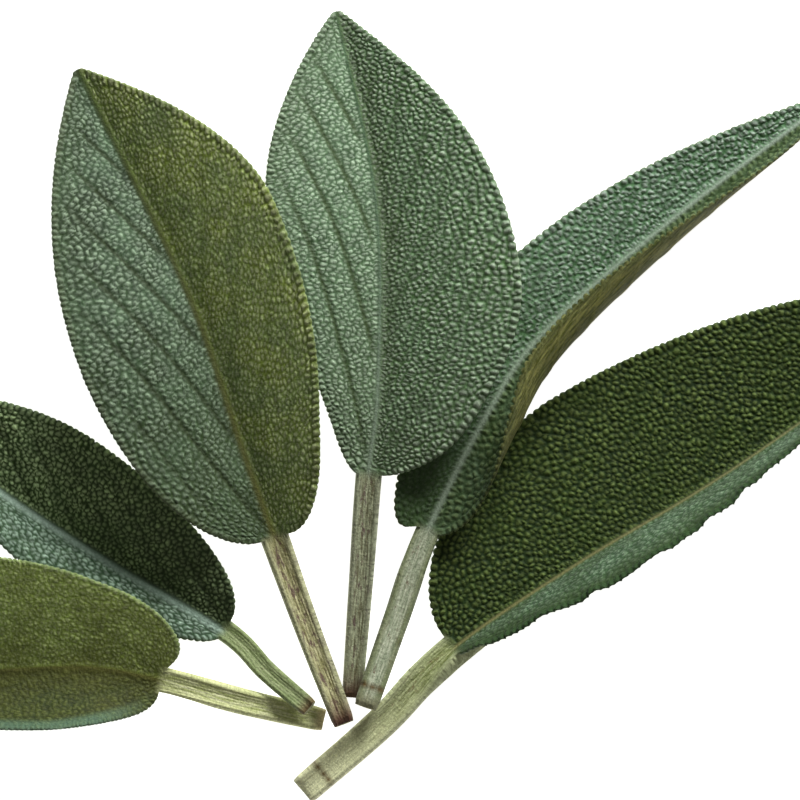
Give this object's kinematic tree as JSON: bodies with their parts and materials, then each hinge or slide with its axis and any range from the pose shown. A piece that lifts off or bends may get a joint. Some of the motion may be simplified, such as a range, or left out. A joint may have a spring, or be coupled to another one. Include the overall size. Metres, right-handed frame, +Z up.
{
  "type": "bunch of picked sage leaves",
  "caption": "Picked sage leaves on their stalks, fanned out flat with the cut ends together: pebbled blades with scalloped edges, some folded along the midrib.",
  "frame": {"origin": "middle of the bounding box in plan, on the surface that the leaves lie on", "axes": "+X across the fan, the longest extent, +Y from the cut ends towards the leaf tips, +Z up from the surface, the shortest extent"},
  "size_m": [0.152, 0.0992, 0.0133],
  "materials": {
    "leaf_lower_left": "matt yellow-green leaf with fine white down, pale green stalk",
    "leaf_left": "matt dark green leaf with fine white down, green stalk",
    "leaf_upper_left": "matt grey-green leaf with fine white down, stalk flecked purple-brown",
    "leaf_upper_centre": "matt grey-green leaf with fine white down, stalk flecked purple-brown",
    "leaf_upper_right": "matt grey-green leaf with fine white down, olive underside",
    "leaf_right": "matt deep green leaf with fine white down, pale green stalk"
  },
  "bodies": {
    "root": {"leaf_lower_left": "leaf_lower_left", "leaf_left": "leaf_left", "leaf_upper_left": "leaf_upper_left", "leaf_upper_centre": "leaf_upper_centre", "leaf_upper_right": "leaf_upper_right", "leaf_right": "leaf_right"}
  },
  "joints": []
}
